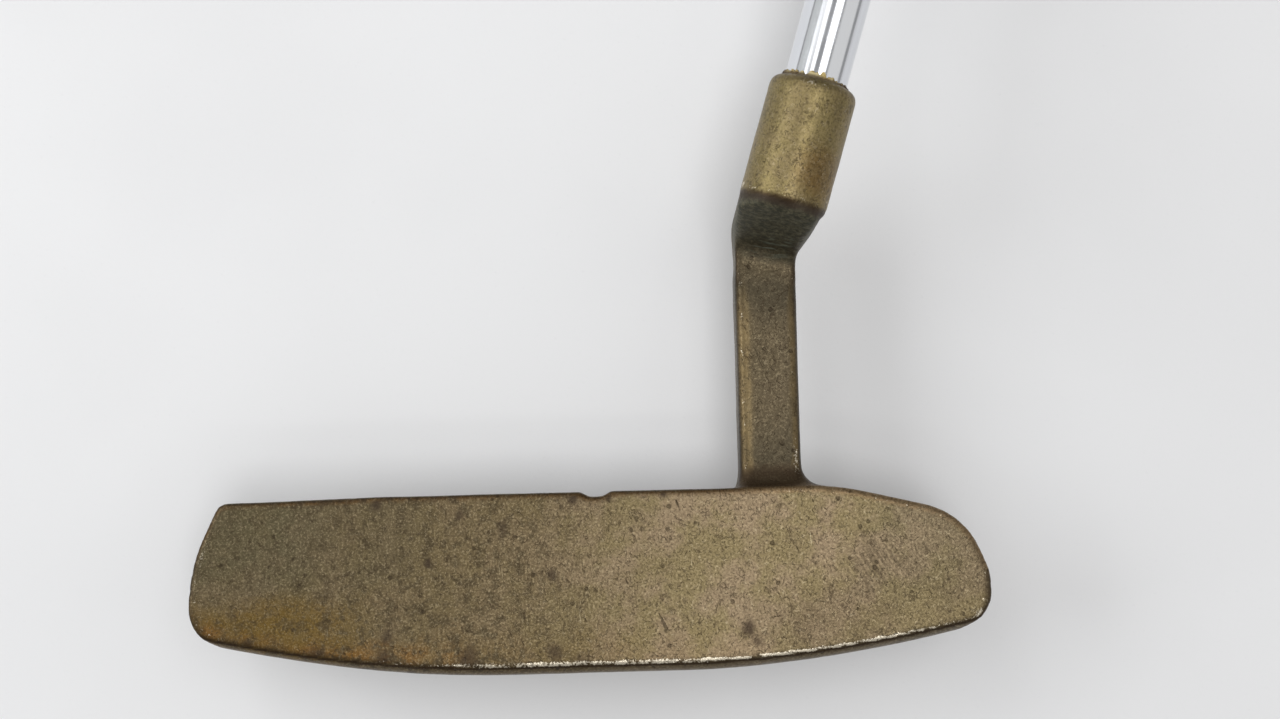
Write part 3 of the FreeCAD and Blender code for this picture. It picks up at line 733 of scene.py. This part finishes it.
class Finish:
    """A material in a frame, and short ways to add nodes to it.

    A value is a number or another node's output.
    """

    def __init__(self, name, place):
        self.material = bpy.data.materials.new(name)
        self.material.use_nodes = True
        self.tree = self.material.node_tree
        self.shader = self.tree.nodes["Principled BSDF"]
        coordinates = self.tree.nodes.new("ShaderNodeTexCoord").outputs["Object"]
        self.mm = self.mapped(coordinates, place.translation, place.to_euler(), (MM, MM, MM))

    def put(self, socket, value):
        """Links an output to a socket, or sets the socket to a plain value."""
        if isinstance(value, bpy.types.NodeSocket):
            self.tree.links.new(value, socket)
        else:
            socket.default_value = value

    def mapped(self, vector, location, rotation, scale):
        """A place as it is in a frame with that location, rotation and scale."""
        node = self.tree.nodes.new("ShaderNodeMapping")
        node.vector_type = "TEXTURE"
        self.put(node.inputs["Vector"], vector)
        node.inputs["Location"].default_value = location
        node.inputs["Rotation"].default_value = rotation
        node.inputs["Scale"].default_value = scale
        return node.outputs["Vector"]

    def math(self, operation, a, b=0.0):
        """A math node's result."""
        node = self.tree.nodes.new("ShaderNodeMath")
        node.operation = operation
        self.put(node.inputs[0], a)
        self.put(node.inputs[1], b)
        return node.outputs[0]

    def less(self, a, b):
        """One value minus another."""
        return self.math("SUBTRACT", a, b)

    def times(self, *values):
        """The product of values."""
        result = values[0]
        for value in values[1:]:
            result = self.math("MULTIPLY", result, value)
        return result

    def stretched(self, scale, turn=(0, 0, 0)):
        """The place in millimetres, turned and then scaled along each axis."""
        rotation = [math.radians(angle) for angle in turn]
        return self.mapped(self.mm, (0, 0, 0), rotation, [1 / part for part in scale])

    def noise(self, size, detail=3.0, roughness=0.5, place=None, distortion=0.0):
        """Noise from 0 to 1 with features of about that size in millimetres."""
        node = self.tree.nodes.new("ShaderNodeTexNoise")
        self.put(node.inputs["Vector"], place or self.mm)
        node.inputs["Scale"].default_value = 1 / size
        node.inputs["Detail"].default_value = detail
        node.inputs["Roughness"].default_value = roughness
        node.inputs["Distortion"].default_value = distortion
        return node.outputs[0]

    def cells(self, size, place=None):
        """Distance to the nearest of scattered points, in cells of that size in millimetres."""
        node = self.tree.nodes.new("ShaderNodeTexVoronoi")
        self.put(node.inputs["Vector"], place or self.mm)
        node.inputs["Scale"].default_value = 1 / size
        return node.outputs["Distance"]

    def between(self, value, low, high, bottom=0.0, top=1.0):
        """A value's smooth rise from bottom at low to top at high."""
        node = self.tree.nodes.new("ShaderNodeMapRange")
        node.interpolation_type = "SMOOTHSTEP"
        self.put(node.inputs["Value"], value)
        node.inputs["From Min"].default_value = low
        node.inputs["From Max"].default_value = high
        node.inputs["To Min"].default_value = bottom
        node.inputs["To Max"].default_value = top
        return node.outputs["Result"]

    def mix(self, share, a, b, blend="MIX"):
        """Two colours mixed by a share."""
        node = self.tree.nodes.new("ShaderNodeMix")
        node.data_type = "RGBA"
        node.blend_type = blend
        self.put(node.inputs["Factor"], share)
        self.put(node.inputs["A"], a)
        self.put(node.inputs["B"], b)
        return node.outputs["Result"]

    def kept(self, name):
        """The number per vertex kept under a name."""
        node = self.tree.nodes.new("ShaderNodeAttribute")
        node.attribute_name = name
        return node.outputs["Fac"]

    def bump(self, height, depth, under=None):
        """Relief of that depth in millimetres, over another one if it is given."""
        node = self.tree.nodes.new("ShaderNodeBump")
        node.inputs["Distance"].default_value = depth * MM
        self.put(node.inputs["Height"], height)
        if under is not None:
            self.put(node.inputs["Normal"], under)
        return node.outputs["Normal"]

    def finish(self, **sockets):
        """Sets the shader's own sockets by name, with spaces as underscores."""
        for name, value in sockets.items():
            self.put(self.shader.inputs[name.replace("_", " ")], value)
        return self.material


def curly_lines(f, size, width, share, turn):
    """Thin curly broken lines: 1 on a line and 0 off it."""
    place = f.stretched((1.0, 1.0, 0.7), (0, turn, turn))
    level = f.math("ABSOLUTE", f.less(f.noise(size, 2, 0.6, place), 0.5))
    line = f.between(level, width, width * 0.3)
    return f.times(line, f.between(f.noise(size * 0.8, 1, 0.5), 1 - share, 1.12 - share))


def patina(f, clouds):
    """The bronze's brown skin with its stain layers, among them the painted light on the heel's top rim and
    partly painted shade towards the toe, before any fleck or mark.
    """
    colour = f.mix(f.between(f.noise(9.0, 5, 0.6), 0.42, 0.58), tone(126, 109, 86), tone(114, 101, 71))
    colour = f.mix(f.between(clouds, 0.5, 0.68, 0, 0.4), colour, tone(98, 84, 64))
    bare = f.less(f.less(1.0, f.kept("front")), f.kept("barrel"))
    colour = f.mix(f.between(bare, 0.1, 0.9, 0.0, 0.85), colour, tone(92, 80, 60))
    for name, clouded, cover, shade in STAIN_AND_PAINTED_LIGHT_LAYERS:
        colour = f.mix(f.times(f.kept(name), f.between(clouds, *clouded, *cover)), colour, tone(*shade))
    return colour


def flecked(f, colour, flecks, grain, dark_lines):
    """The skin's flecks and curly lines, fainter on the neck and stronger at the toe."""
    toe_shade = f.kept("toe_shade")
    mottle = f.times(toe_shade, toe_shade, f.between(f.noise(1.9, 4, 0.65), 0.46, 0.62, 0, 0.85))
    colour = f.mix(mottle, colour, tone(66, 56, 38))
    bold = f.less(1.0, f.times(f.kept("neck"), 0.72))
    fair = f.math("ADD", bold, f.times(f.less(toe_shade, f.kept("gold")), 0.3))
    for texture, none, full, most, share, shade in (
        (flecks, 0.5, 0.72, 0.3, fair, (158, 143, 112)),
        (flecks, 0.5, 0.28, 0.5, bold, (62, 51, 36)),
        (grain, 0.5, 0.72, 0.36, fair, (166, 150, 118)),
        (grain, 0.5, 0.3, 0.5, bold, (52, 42, 28)),
    ):
        colour = f.mix(f.times(f.between(texture, none, full, 0, most), share), colour, tone(*shade))
    colour = f.mix(f.times(dark_lines, 0.5), colour, tone(54, 43, 29))
    light_lines = f.times(curly_lines(f, 1.2, 0.03, 0.46, 75), f.less(bold, f.times(toe_shade, 0.7)), 0.3)
    return f.mix(light_lines, colour, tone(180, 165, 134))


def all_pits(f):
    """Ragged pits over the whole casting, and closer ones on the socket."""
    ragged = f.noise(0.5, 2, 0.6)
    wide = pitting(f, 1.7, 0.25, 3.2, ragged)
    close = f.times(pitting(f, 1.1, 0.34, 2.4, ragged), f.kept("barrel"))
    return f.math("MAXIMUM", wide, close)


def sooted_and_shaded(f, colour, cover, clouds, flecks):
    """The black and green crust of the elbow, deepened by painted shade there and in recesses, the dark
    brown marks with their painted shade and shadow lines, and the dark spots.
    """
    streaks = f.noise(1.0, 3, 0.6, f.stretched((0.35, 1.0, 2.6), (0, 8, 0)))
    soot_and_shade = f.mix(f.between(flecks, 0.4, 0.7), tone(58, 57, 44), tone(106, 101, 79))
    soot_and_shade = f.mix(f.between(streaks, 0.5, 0.75, 0, 0.42), soot_and_shade, tone(122, 120, 100))
    colour = f.mix(cover, colour, soot_and_shade)
    # the dark brown mask, with painted shade under the leading edge and a painted shadow under the socket
    brown = f.times(f.kept("brown"), f.between(clouds, 0.25, 0.6, 0.75, 1.0))
    colour = f.mix(brown, colour, tone(54, 39, 25))
    colour = f.mix(f.kept("spots"), colour, tone(56, 45, 34))
    verdigris = f.times(f.kept("verdigris"), f.between(streaks, 0.5, 0.66), 0.55)
    return f.mix(verdigris, colour, tone(128, 136, 122))


def aged_bronze(place):
    """Bronze under a mottled brown patina, with stain layers, pits, scratches and worn edges, painted shade
    on its rims, elbow and recesses, and a painted highlight along the leading edge.
    """
    f = Finish("aged_bronze", place)
    wear_and_highlight = f.kept("wear_and_highlight")
    barrel = f.kept("barrel")
    front = f.kept("front")
    clouds = f.noise(3.6, 5, 0.62)
    flecks = f.noise(0.72, 4, 0.72)
    grain = f.noise(0.34, 3, 0.72)

    dark_lines = f.math("MAXIMUM", curly_lines(f, 1.5, 0.03, 0.50, 0), curly_lines(f, 0.9, 0.035, 0.48, 40))
    colour = flecked(f, patina(f, clouds), flecks, grain, dark_lines)
    pit = all_pits(f)
    colour = f.mix(f.times(pit, f.less(0.65, f.times(barrel, 0.38))), colour, tone(46, 36, 23))
    # painted shade: the sharp rims darkened where their roundings turn from the lamps, less where rubbed
    # bare
    colour = f.mix(f.times(f.kept("edge"), f.less(0.45, f.times(wear_and_highlight, 0.45))), colour, tone(60, 46, 34))
    # the elbow's dark crust with its painted shade, and painted shade in the recesses
    soot_and_shade_cover = f.times(f.kept("soot_and_shade"), f.between(clouds, 0.2, 0.55, 0.85, 1.0))
    colour = sooted_and_shaded(f, colour, soot_and_shade_cover, clouds, flecks)

    # bright: rubbed bare bronze, and along the leading edge a painted highlight
    bright = f.math("ADD", wear_and_highlight, f.times(f.less(grain, 0.5), 1.5))
    bright = f.times(f.between(bright, 0.28, 0.6), f.between(wear_and_highlight, 0.04, 0.25))
    colour = f.mix(bright, colour, tone(230, 219, 197))
    light_cuts, dark_cuts = scratch_lines(f)
    colour = f.mix(f.times(light_cuts, front, 0.5), colour, tone(190, 176, 142))
    colour = f.mix(f.times(dark_cuts, front, 0.6), colour, tone(46, 38, 26))
    brushed = f.noise(1.0, 1, 0.4, f.stretched((0.2, 1.0, 2.4), (0, 58, 0)))
    brushed = f.times(f.between(brushed, 0.42, 0.58), f.kept("brushed"), 0.5)
    colour = f.mix(brushed, colour, tone(68, 57, 42))

    relief = f.bump(grain, 0.02)
    relief = f.bump(clouds, 0.05, relief)
    sunk = f.math("MAXIMUM", f.math("MAXIMUM", pit, dark_cuts), f.times(dark_lines, 0.4))
    relief = f.bump(f.less(1.0, sunk), 0.05, relief)
    rough = f.between(grain, 0.3, 0.7, 0.48, 0.38)
    rough = f.mix(barrel, rough, (0.42, 0.42, 0.42, 1))
    rough = f.mix(bright, rough, (0.27, 0.27, 0.27, 1))
    rough = f.mix(soot_and_shade_cover, rough, (0.6, 0.6, 0.6, 1))
    metallic = f.less(0.85, f.times(soot_and_shade_cover, 0.45))
    return f.finish(Base_Color=colour, Metallic=metallic, Roughness=rough, Normal=relief)


def pitting(f, size, radius, spread, ragged):
    """Scattered ragged pits, thicker in some places than in others."""
    away = f.math("ADD", f.cells(size), f.times(f.less(ragged, 0.5), 0.35))
    return f.times(f.between(away, radius, radius * 0.45), f.between(f.noise(spread, 2), 0.48, 0.62))


def scratch_lines(f):
    """Short thin cuts: bright ones, rare, and darker ones that have filled with patina."""
    cuts = []
    for turn, stretch, size, low in ((85, 2.4, 5.0, 0.62), (66, 1.7, 3.0, 0.55)):
        hairs = f.noise(1.0, 1, 0.4, f.stretched((0.14, 1.0, stretch), (0, turn, 0)))
        cuts.append(f.times(f.between(hairs, 0.70, 0.77), f.between(f.noise(size, 1), low, low + 0.05)))
    return cuts


def chrome(place):
    """Polished chrome plate with hairline scratches and a few specks of rust."""
    f = Finish("polished_chrome", place)
    hairlines = f.noise(1.0, 2, 0.6, f.stretched((2.6, 2.6, 0.05)))
    haze = f.noise(7.0, 3, 0.6)
    speck = f.times(f.between(f.cells(3.4), 0.11, 0.05), f.between(f.noise(9.0, 1), 0.5, 0.56))
    colour = f.mix(speck, tone(226, 228, 232), tone(92, 84, 74))
    rough = f.between(haze, 0.35, 0.75, 0.11, 0.18)
    rough = f.mix(speck, rough, (0.5, 0.5, 0.5, 1))
    relief = f.bump(hairlines, 0.0015)
    relief = f.bump(f.less(1.0, speck), 0.02, relief)
    return f.finish(Base_Color=colour, Metallic=1.0, Roughness=rough, Normal=relief)


def crust(place):
    """Old amber glue, crumbly and dark at its root."""
    f = Finish("glue_crust", place)
    crumbs = f.noise(0.45, 4, 0.7)
    lumps = f.noise(1.3, 2, 0.5)
    gilded = f.mix(f.between(crumbs, 0.36, 0.55), tone(110, 86, 48), tone(206, 182, 118))
    gilded = f.mix(f.between(lumps, 0.46, 0.6, 0, 0.8), gilded, tone(232, 216, 164))
    dull = f.mix(f.between(crumbs, 0.4, 0.65), tone(58, 42, 28), tone(116, 92, 60))
    colour = f.mix(f.kept("golden"), dull, gilded)
    colour = f.mix(f.times(f.kept("root"), 0.85), colour, tone(56, 36, 18))
    relief = f.bump(crumbs, 0.25)
    return f.finish(Base_Color=colour, Roughness=f.between(crumbs, 0.3, 0.7, 0.75, 0.4), Normal=relief)


def moulded_rubber(place):
    """Black grip rubber: a matt bloom over a fine moulded grain."""
    f = Finish("moulded_rubber", place)
    grain = f.noise(0.28, 3, 0.6)
    bloom = f.noise(14.0, 4, 0.6)
    dust = f.noise(1.6, 4, 0.7)
    colour = f.mix(f.between(bloom, 0.35, 0.7), tone(34, 34, 35), tone(50, 49, 48))
    colour = f.mix(f.between(dust, 0.55, 0.8, 0, 0.4), colour, tone(78, 76, 72))
    relief = f.bump(grain, 0.05)
    rough = f.between(bloom, 0.3, 0.7, 0.55, 0.74)
    sheen = {"Sheen_Weight": 0.15, "Sheen_Roughness": 0.5}
    return f.finish(Base_Color=colour, Roughness=rough, Normal=relief, **sheen)


def cap_plastic(place):
    """Hard black plastic, satin, with scuffs."""
    f = Finish("satin_plastic", place)
    scuffs = f.noise(1.0, 2, 0.5, f.stretched((0.3, 3.0, 1.0), (0, 0, 30)))
    mottle = f.noise(3.0, 4, 0.6)
    colour = f.mix(f.between(mottle, 0.4, 0.7), tone(28, 28, 29), tone(40, 40, 41))
    colour = f.mix(f.between(scuffs, 0.64, 0.72, 0, 0.5), colour, tone(92, 92, 92))
    relief = f.bump(f.noise(0.2, 2), 0.01)
    return f.finish(Base_Color=colour, Roughness=f.between(mottle, 0.3, 0.7, 0.32, 0.48), Normal=relief)


def machined_brass(place):
    """The weight pin's turned brass, with tool rings and a little tarnish."""
    f = Finish("machined_brass", place)
    rings = f.noise(1.0, 1, 0.5, f.stretched((0.1, 0.1, 6.0)))
    tarnish = f.noise(2.5, 4, 0.6)
    colour = f.mix(f.between(tarnish, 0.4, 0.7), tone(212, 178, 108), tone(150, 116, 62))
    relief = f.bump(rings, 0.01)
    rough = f.between(tarnish, 0.3, 0.7, 0.25, 0.4)
    return f.finish(Base_Color=colour, Metallic=1.0, Roughness=rough, Normal=relief)


def stopper_rubber(place):
    """Soft brown rubber with moulding dust."""
    f = Finish("stopper_rubber", place)
    mottle = f.noise(1.8, 4, 0.6)
    colour = f.mix(f.between(mottle, 0.35, 0.65), tone(104, 84, 66), tone(128, 108, 86))
    return f.finish(Base_Color=colour, Roughness=0.78, Normal=f.bump(f.noise(0.3, 3), 0.04))


def woven_tape(place):
    """Crepe masking tape: cream paper with fine cross wrinkles and the glue soaked in."""
    f = Finish("crepe_tape", place)
    wrinkles = f.noise(1.0, 3, 0.6, f.stretched((0.5, 0.5, 3.5)))
    soaked = f.noise(6.0, 3, 0.6)
    colour = f.mix(f.between(soaked, 0.4, 0.65), tone(222, 206, 166), tone(196, 172, 124))
    colour = f.mix(f.between(wrinkles, 0.5, 0.3, 0, 0.3), colour, tone(160, 140, 102))
    return f.finish(Base_Color=colour, Roughness=0.8, Normal=f.bump(wrinkles, 0.06))


# ---------------------------------------------------------------- stage


def pale_floor():
    """A wide pale table top."""
    f = Finish("pale_table", Matrix())
    clouds = f.noise(60.0, 3, 0.5)
    fibres = f.noise(0.7, 3, 0.6)
    colour = f.mix(f.between(clouds, 0.35, 0.65), tone(235, 235, 236), tone(238, 238, 239))
    colour = f.mix(f.between(fibres, 0.6, 0.75, 0, 0.25), colour, tone(226, 226, 227))
    material = f.finish(Base_Color=colour, Roughness=0.55, Normal=f.bump(fibres, 0.02))
    mesh = bpy.data.meshes.new("table_top")
    half = TABLE_HALF_M
    corners = [(-half, -half, 0), (half, -half, 0), (half, half, 0), (-half, half, 0)]
    mesh.from_pydata(corners, [], [(0, 1, 2, 3)])
    mesh.materials.append(material)
    table = bpy.data.objects.new("table_top", mesh)
    bpy.context.scene.collection.objects.link(table)


def softbox(view, name, place, size, power, colour):
    """A rectangular light aimed at the face; its place is (right, up, height) in metres from the face."""
    light = bpy.data.lights.new(name, "AREA")
    light.shape = "RECTANGLE"
    light.size, light.size_y = size
    light.energy = power
    light.color = colour
    lamp = bpy.data.objects.new(name, light)
    bpy.context.scene.collection.objects.link(lamp)
    right, top, level = view.to_3x3().col
    face = view.translation - level * CAMERA_HEIGHT * MM
    lamp.location = face + right * place[0] + top * place[1] + level * place[2]
    toward = (face - lamp.location).normalized()
    across = toward.cross(top).normalized()
    lamp.visible_camera = False
    lamp.rotation_mode = "QUATERNION"
    lamp.rotation_quaternion = columns(across, toward.cross(-across), -toward, Vector()).to_quaternion()


def studio(view):
    """Plain soft light: an evenly lit room, panels overhead, windows to the toe, a wall at each side."""
    world = bpy.data.worlds.new("soft_room")
    world.use_nodes = True
    background = world.node_tree.nodes["Background"]
    background.inputs["Color"].default_value = (1.0, 1.0, 1.0, 1)
    background.inputs["Strength"].default_value = ROOM_STRENGTH
    bpy.context.scene.world = world
    for lamp in LAMPS:
        softbox(view, *lamp)


def add_camera(view):
    """The camera at its place over the face."""
    data = bpy.data.cameras.new("camera")
    data.lens = CAMERA_LENS
    data.clip_start = 0.01
    camera = bpy.data.objects.new("camera", data)
    bpy.context.scene.collection.objects.link(camera)
    camera.matrix_world = view
    bpy.context.scene.camera = camera


# ---------------------------------------------------------------- the putter

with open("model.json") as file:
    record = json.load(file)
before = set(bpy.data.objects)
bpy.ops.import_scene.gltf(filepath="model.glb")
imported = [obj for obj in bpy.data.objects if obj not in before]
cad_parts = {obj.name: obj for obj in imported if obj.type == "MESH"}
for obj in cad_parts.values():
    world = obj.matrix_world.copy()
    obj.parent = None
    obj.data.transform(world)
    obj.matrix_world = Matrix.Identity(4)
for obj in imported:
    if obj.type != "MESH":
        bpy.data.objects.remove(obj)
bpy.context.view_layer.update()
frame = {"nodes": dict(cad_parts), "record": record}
mounts = {mount["name"]: mount for mount in frame["record"]["mounts"]}
nodes = frame["nodes"]
head = head_frame(mounts)
shaft = shaft_frame(mounts, head)
view = camera_frame(head)
add_camera(view)
studio(view)
pale_floor()

bronze_head(nodes["head_casting"], head, head.inverted() @ shaft, aged_bronze(head))
chromed_shaft(nodes["shaft"], shaft, chrome(shaft))
glue_crust(nodes["epoxy_bond"], shaft, crust(shaft))
tape_radius = round_profile(nodes["grip_tape"], shaft)[0][1]
rubber_grip(nodes["grip"], shaft, tape_radius + GRIP_HOLE_GAP, moulded_rubber(shaft))
butt_cap(nodes["grip_cap"], shaft, cap_plastic(shaft))
for node, material in (
    ("tip_weight", machined_brass(shaft)),
    ("shaft_stopper", stopper_rubber(shaft)),
    ("grip_tape", woven_tape(shaft)),
):
    nodes[node].data.materials.clear()
    nodes[node].data.materials.append(material)

bpy.context.scene.view_settings.view_transform = "Standard"
